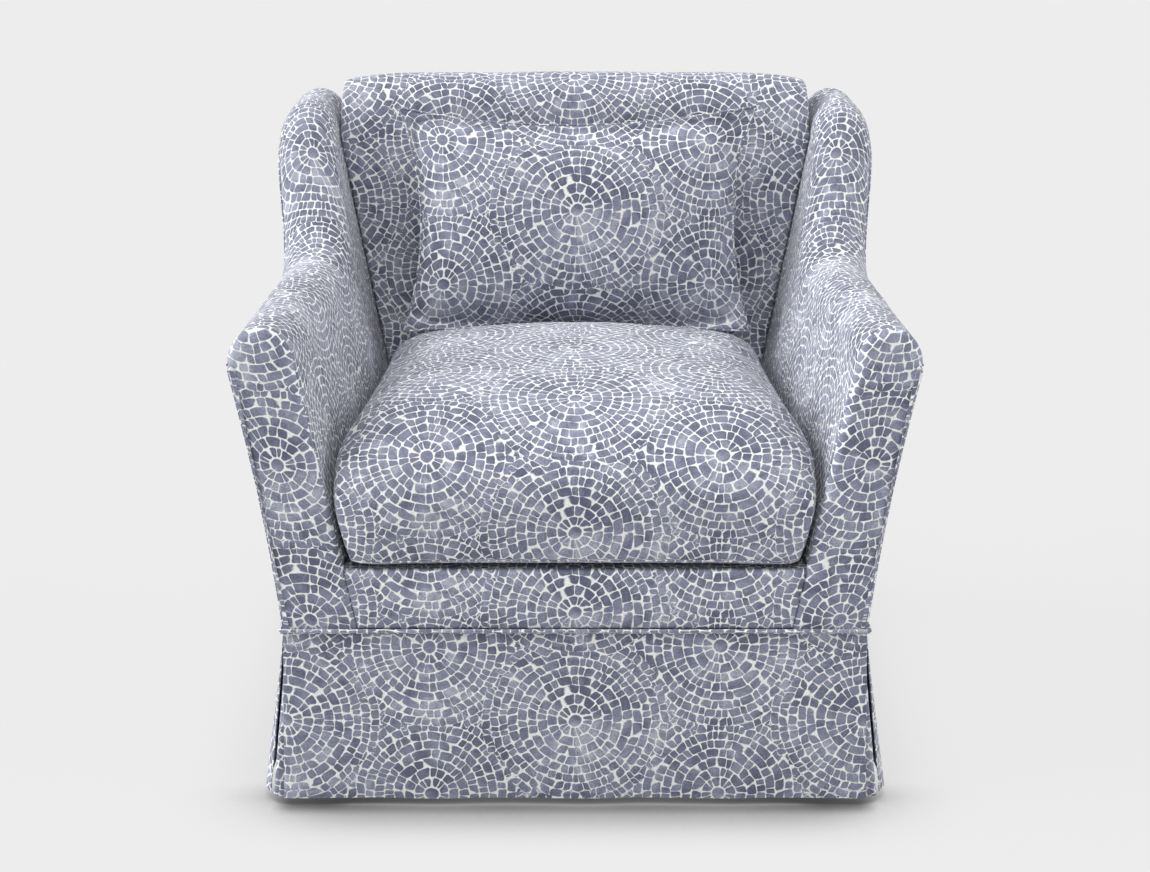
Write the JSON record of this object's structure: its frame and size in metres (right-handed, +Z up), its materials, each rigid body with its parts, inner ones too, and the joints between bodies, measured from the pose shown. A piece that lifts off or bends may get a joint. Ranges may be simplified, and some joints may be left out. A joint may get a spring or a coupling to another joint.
{
  "type": "slipper chair",
  "caption": "Low upholstered slipper chair with winged, splayed arms, a kick-pleat skirt, a loose seat cushion and a lumbar pillow.",
  "frame": {"origin": "on the floor, under the middle of the chair's bounding box", "axes": "+Z up, -Y towards the front of the chair, +X to the right as seen from the front"},
  "size_m": [0.8102, 0.8, 0.787],
  "materials": {
    "mosaic_fabric": "matte printed linen-cotton, slate blue tesserae on cream",
    "lining": "plain decking cloth",
    "timber": "planed hardwood, unfinished",
    "dark_timber": "satin stain",
    "spring_steel": "drawn wire",
    "filling": "foam and fibre",
    "black_cloth": "non-woven",
    "webbing": "woven jute",
    "glide_plastic": "matte",
    "zip_metal": "satin nickel"
  },
  "bodies": {
    "root": {"front_rail": "timber", "back_rail": "timber", "lower_back_rail": "timber", "crest_rail": "timber", "back_web_lower": "webbing", "back_web_upper": "webbing", "front_spring_clips": "spring_steel", "rear_spring_clips": "spring_steel", "seat_deck": "lining", "front_border": "mosaic_fabric", "outside_back_panel": "mosaic_fabric", "dust_cover": "black_cloth", "inside_back_pad": "mosaic_fabric", "skirt_front": "mosaic_fabric", "skirt_back": "mosaic_fabric", "skirt_left": "mosaic_fabric", "skirt_right": "mosaic_fabric", "skirt_welt": "mosaic_fabric", "left_front_pleat_underlay": "mosaic_fabric", "left_back_pleat_underlay": "mosaic_fabric", "right_front_pleat_underlay": "mosaic_fabric", "right_back_pleat_underlay": "mosaic_fabric", "seat_spring_1": "spring_steel", "seat_spring_2": "spring_steel", "seat_spring_3": "spring_steel", "seat_spring_4": "spring_steel", "left_side_rail": "timber", "left_front_post": "timber", "left_arm_rail": "timber", "left_back_post": "timber", "left_wing_board": "timber", "left_arm_pad": "mosaic_fabric", "left_arm_front_panel": "mosaic_fabric", "left_outside_panel": "mosaic_fabric", "left_front_corner_block": "timber", "left_back_corner_block": "timber", "left_front_leg": "dark_timber", "left_front_glide": "glide_plastic", "left_back_leg": "dark_timber", "left_back_glide": "glide_plastic", "right_side_rail": "timber", "right_front_post": "timber", "right_arm_rail": "timber", "right_back_post": "timber", "right_wing_board": "timber", "right_arm_pad": "mosaic_fabric", "right_arm_front_panel": "mosaic_fabric", "right_outside_panel": "mosaic_fabric", "right_front_corner_block": "timber", "right_back_corner_block": "timber", "right_front_leg": "dark_timber", "right_front_glide": "glide_plastic", "right_back_leg": "dark_timber", "right_back_glide": "glide_plastic"},
    "seat_cushion": {"seat_cushion_cover": "mosaic_fabric", "seat_cushion_foam": "filling"},
    "seat_zip": {"seat_zip_slider": "zip_metal"},
    "lumbar_pillow": {"pillow_cover": "mosaic_fabric", "pillow_insert": "filling"},
    "pillow_zip": {"pillow_zip_slider": "zip_metal"}
  },
  "joints": [
    {"name": "seat_cushion_lift", "type": "slide", "parent": "root", "child": "seat_cushion", "axis": [0, 0, 1], "range_m": [0, 0.52]},
    {"name": "seat_zip_slide", "type": "slide", "parent": "seat_cushion", "child": "seat_zip", "axis": [-1, 0, 0], "range_m": [0, 0.362]},
    {"name": "pillow_lift", "type": "slide", "parent": "seat_cushion", "child": "lumbar_pillow", "axis": [0, 0, 1], "range_m": [0, 0.34]},
    {"name": "pillow_zip_slide", "type": "slide", "parent": "lumbar_pillow", "child": "pillow_zip", "axis": [-1, 0, 0], "range_m": [0, 0.327]}
  ]
}
